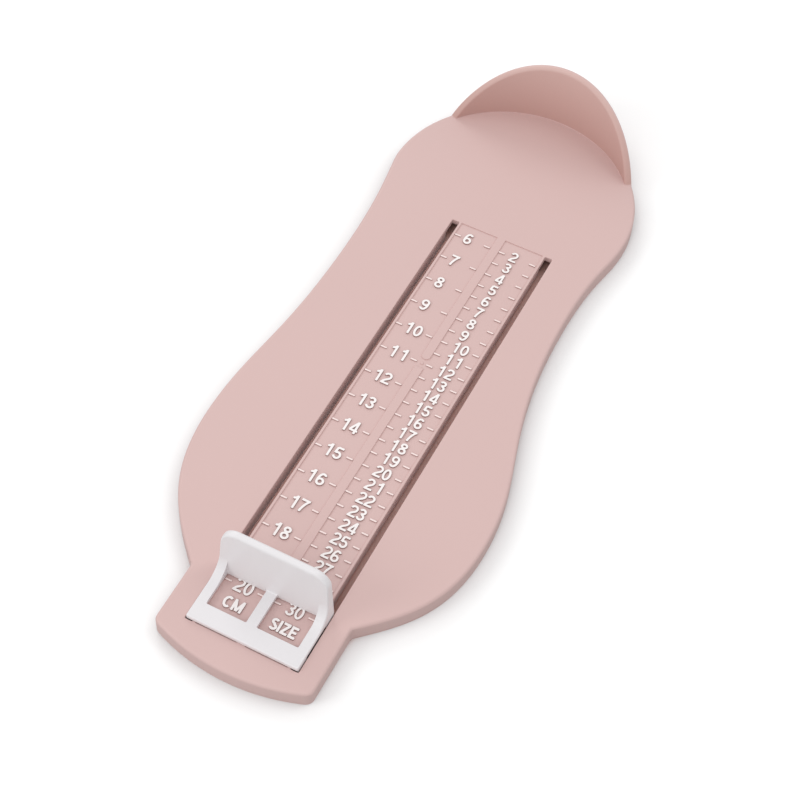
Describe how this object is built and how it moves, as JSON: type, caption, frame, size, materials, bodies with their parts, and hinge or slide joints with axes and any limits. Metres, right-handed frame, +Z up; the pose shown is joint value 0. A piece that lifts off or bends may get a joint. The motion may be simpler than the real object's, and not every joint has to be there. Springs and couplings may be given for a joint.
{
  "type": "foot measuring device",
  "caption": "Sole-shaped moulded plate with a raised heel cup, two columns of length marks between slots, and a sliding toe stop with reading windows.",
  "frame": {"origin": "under the middle of the part's bounding box, on the plane that it rests on", "axes": "+Y runs from the toe tongue to the heel cup, +Z points up out of the plate, +X is right seen from the toe end"},
  "size_m": [0.09, 0.2268, 0.0271],
  "materials": {
    "base_plastic": "satin moulded, dusty pink",
    "slider_plastic": "smooth moulded, cool white",
    "mark_print": "white print on raised numbers and marks"
  },
  "bodies": {
    "base": {"base_plate": "base_plastic"},
    "slider": {"toe_slider": "slider_plastic"}
  },
  "joints": [
    {"name": "toe_slide", "type": "slide", "parent": "base", "child": "slider", "axis": [0, 1, 0], "range_m": [0, 0.14]}
  ]
}
